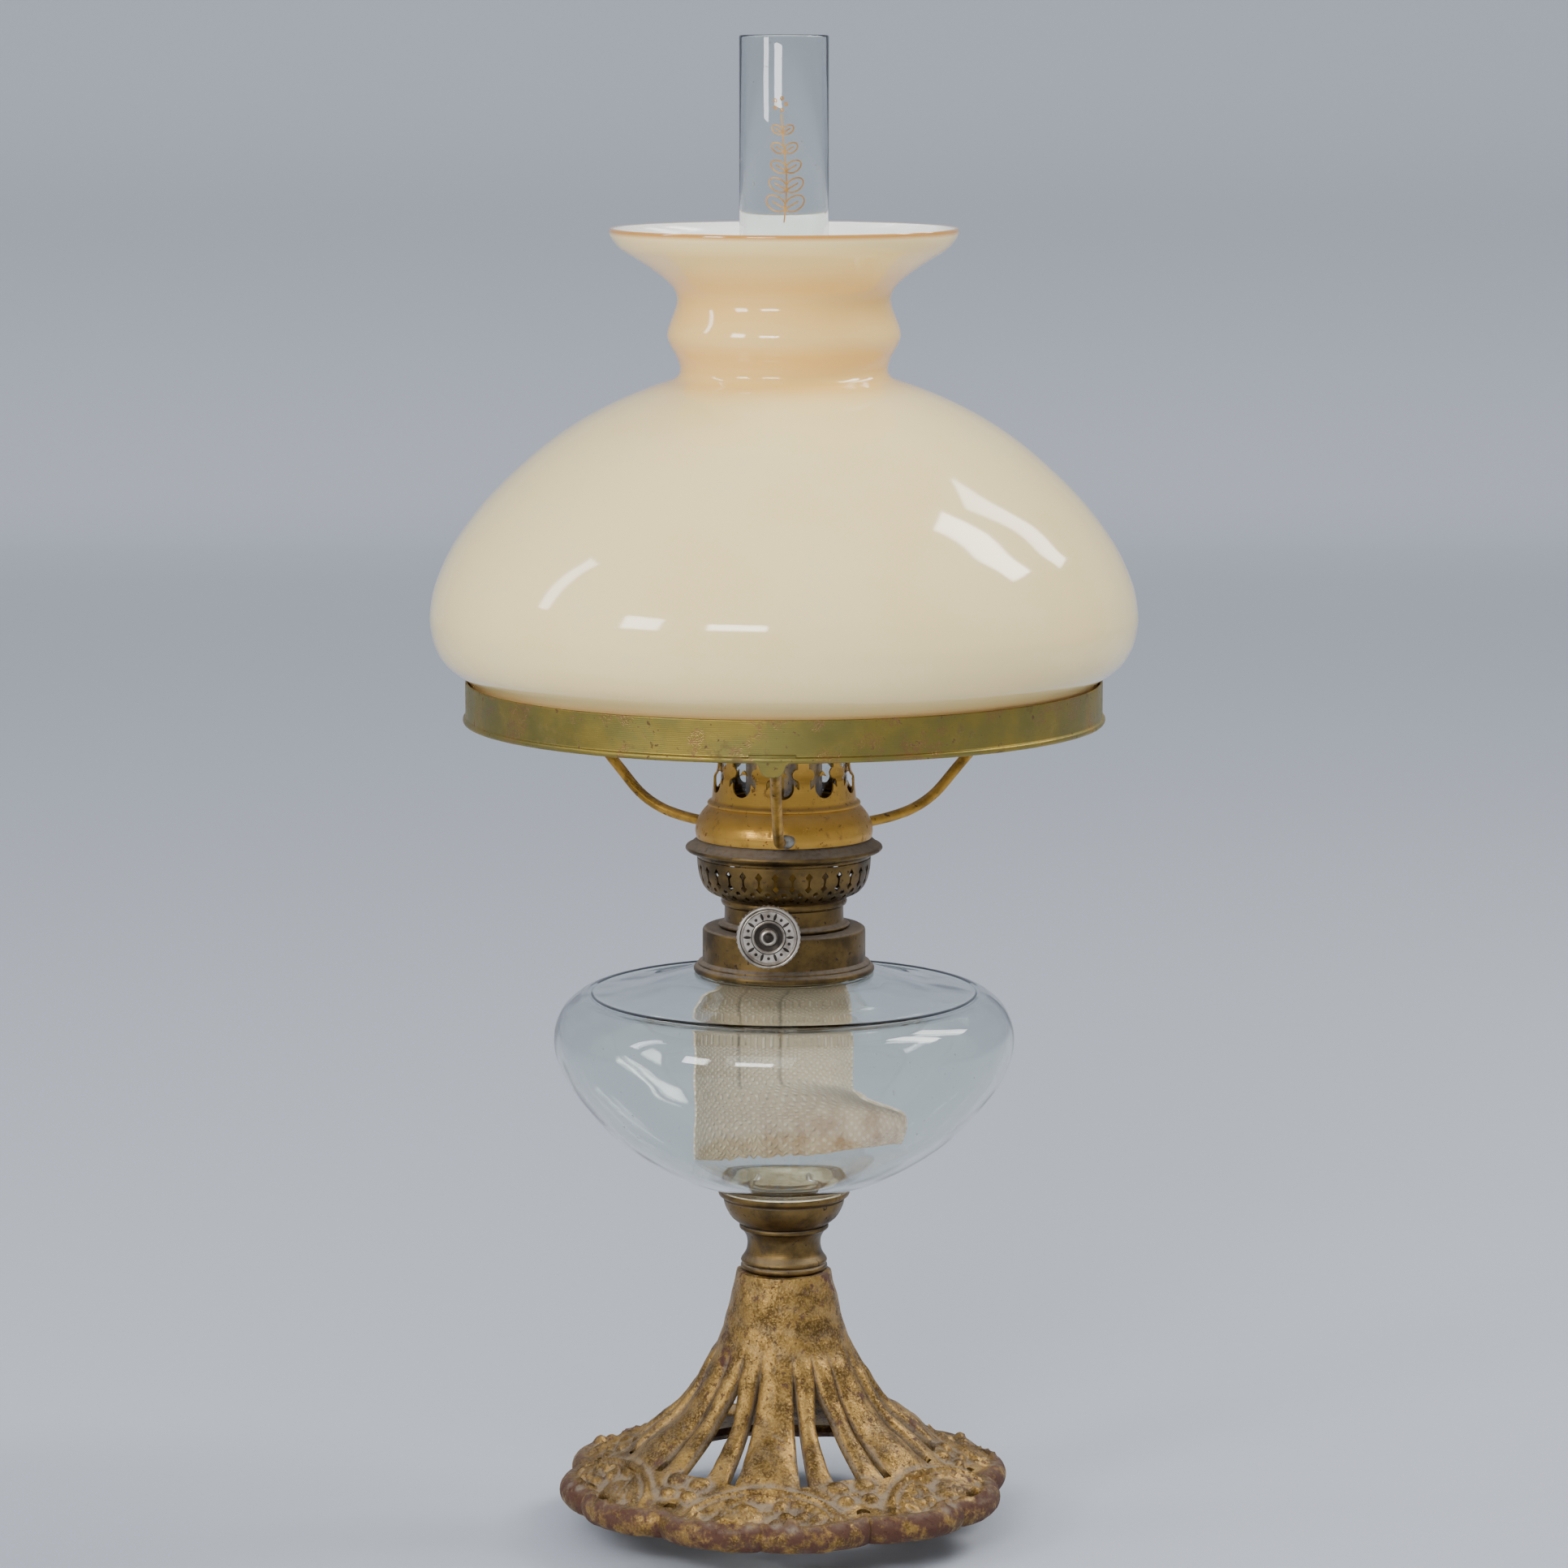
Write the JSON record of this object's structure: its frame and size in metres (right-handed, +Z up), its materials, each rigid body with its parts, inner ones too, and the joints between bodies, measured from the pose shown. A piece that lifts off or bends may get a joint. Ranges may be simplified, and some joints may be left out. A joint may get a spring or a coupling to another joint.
{
  "type": "oil lamp",
  "caption": "Table oil lamp: openwork cast foot, glass font, round-wick burner with a wick knob, lift-off shade carrier, opal shade and tall glass chimney.",
  "frame": {"origin": "centre of the foot, on the surface that the lamp stands on", "axes": "+Z up along the lamp's axis, -Y towards the front, where the wick knob and one carrier arm are, +X to the right seen from the front"},
  "size_m": [0.2662, 0.2662, 0.5561],
  "materials": {
    "cast_iron": "cast, worn gilding over rust",
    "steel": "dull",
    "dark_brass": "dark tarnish",
    "brass": "spun, golden brown",
    "aged_brass": "olive patina, pitted",
    "nickel": "worn nickel plate",
    "plaster": "matt",
    "cotton": "woven",
    "opal_glass": "gloss, cased opal",
    "clear_glass": "gloss, clear"
  },
  "bodies": {
    "lamp_base": {"base_casting": "cast_iron", "tie_bolt": "steel", "tie_washer": "steel", "tie_nut": "steel", "stem_neck": "dark_brass", "font_cup": "dark_brass", "font_plaster": "plaster", "glass_font": "clear_glass", "collar_cement": "plaster", "font_collar": "dark_brass"},
    "burner": {"burner_neck": "dark_brass", "air_basket": "dark_brass", "vase_ring": "dark_brass", "air_screen": "brass", "wick_tube": "brass", "draught_tube": "brass", "spindle_bush": "dark_brass"},
    "wick_feed": {"wick_spindle": "steel", "wick_knob": "nickel", "knob_rivet": "nickel", "front_cog": "brass", "rear_cog": "brass"},
    "wick_cloth": {"wick": "cotton"},
    "shade_carrier": {"chimney_gallery": "brass", "chimney_seat": "brass", "shade_ring": "aged_brass", "carrier_arm_front": "aged_brass", "carrier_arm_right": "aged_brass", "carrier_arm_left": "aged_brass"},
    "shade": {"glass_shade": "opal_glass"},
    "chimney": {"glass_chimney": "clear_glass"}
  },
  "joints": [
    {"name": "burner_unscrew", "type": "hinge", "parent": "lamp_base", "child": "burner", "pos_m": [0, 0, 0.22155], "axis": [0, 0, 1], "range_deg": [0, 900]},
    {"name": "knob_turn", "type": "hinge", "parent": "burner", "child": "wick_feed", "pos_m": [-0.0057, 0, 0.2254], "axis": [0, 1, 0], "range_deg": [0, 88]},
    {"name": "wick_raise", "type": "slide", "parent": "burner", "child": "wick_cloth", "axis": [0, 0, 1], "range_m": [0, 0.01]},
    {"name": "carrier_lift", "type": "slide", "parent": "burner", "child": "shade_carrier", "axis": [0, 0, 1], "range_m": [0, 0.065]},
    {"name": "shade_lift", "type": "slide", "parent": "shade_carrier", "child": "shade", "axis": [0, 0, 1], "range_m": [0, 0.262]},
    {"name": "chimney_lift", "type": "slide", "parent": "shade_carrier", "child": "chimney", "axis": [0, 0, 1], "range_m": [0, 0.22]}
  ],
  "couplings": [
    {"joint": "wick_raise", "follows": "knob_turn", "m_per_rad": 0.0064}
  ]
}
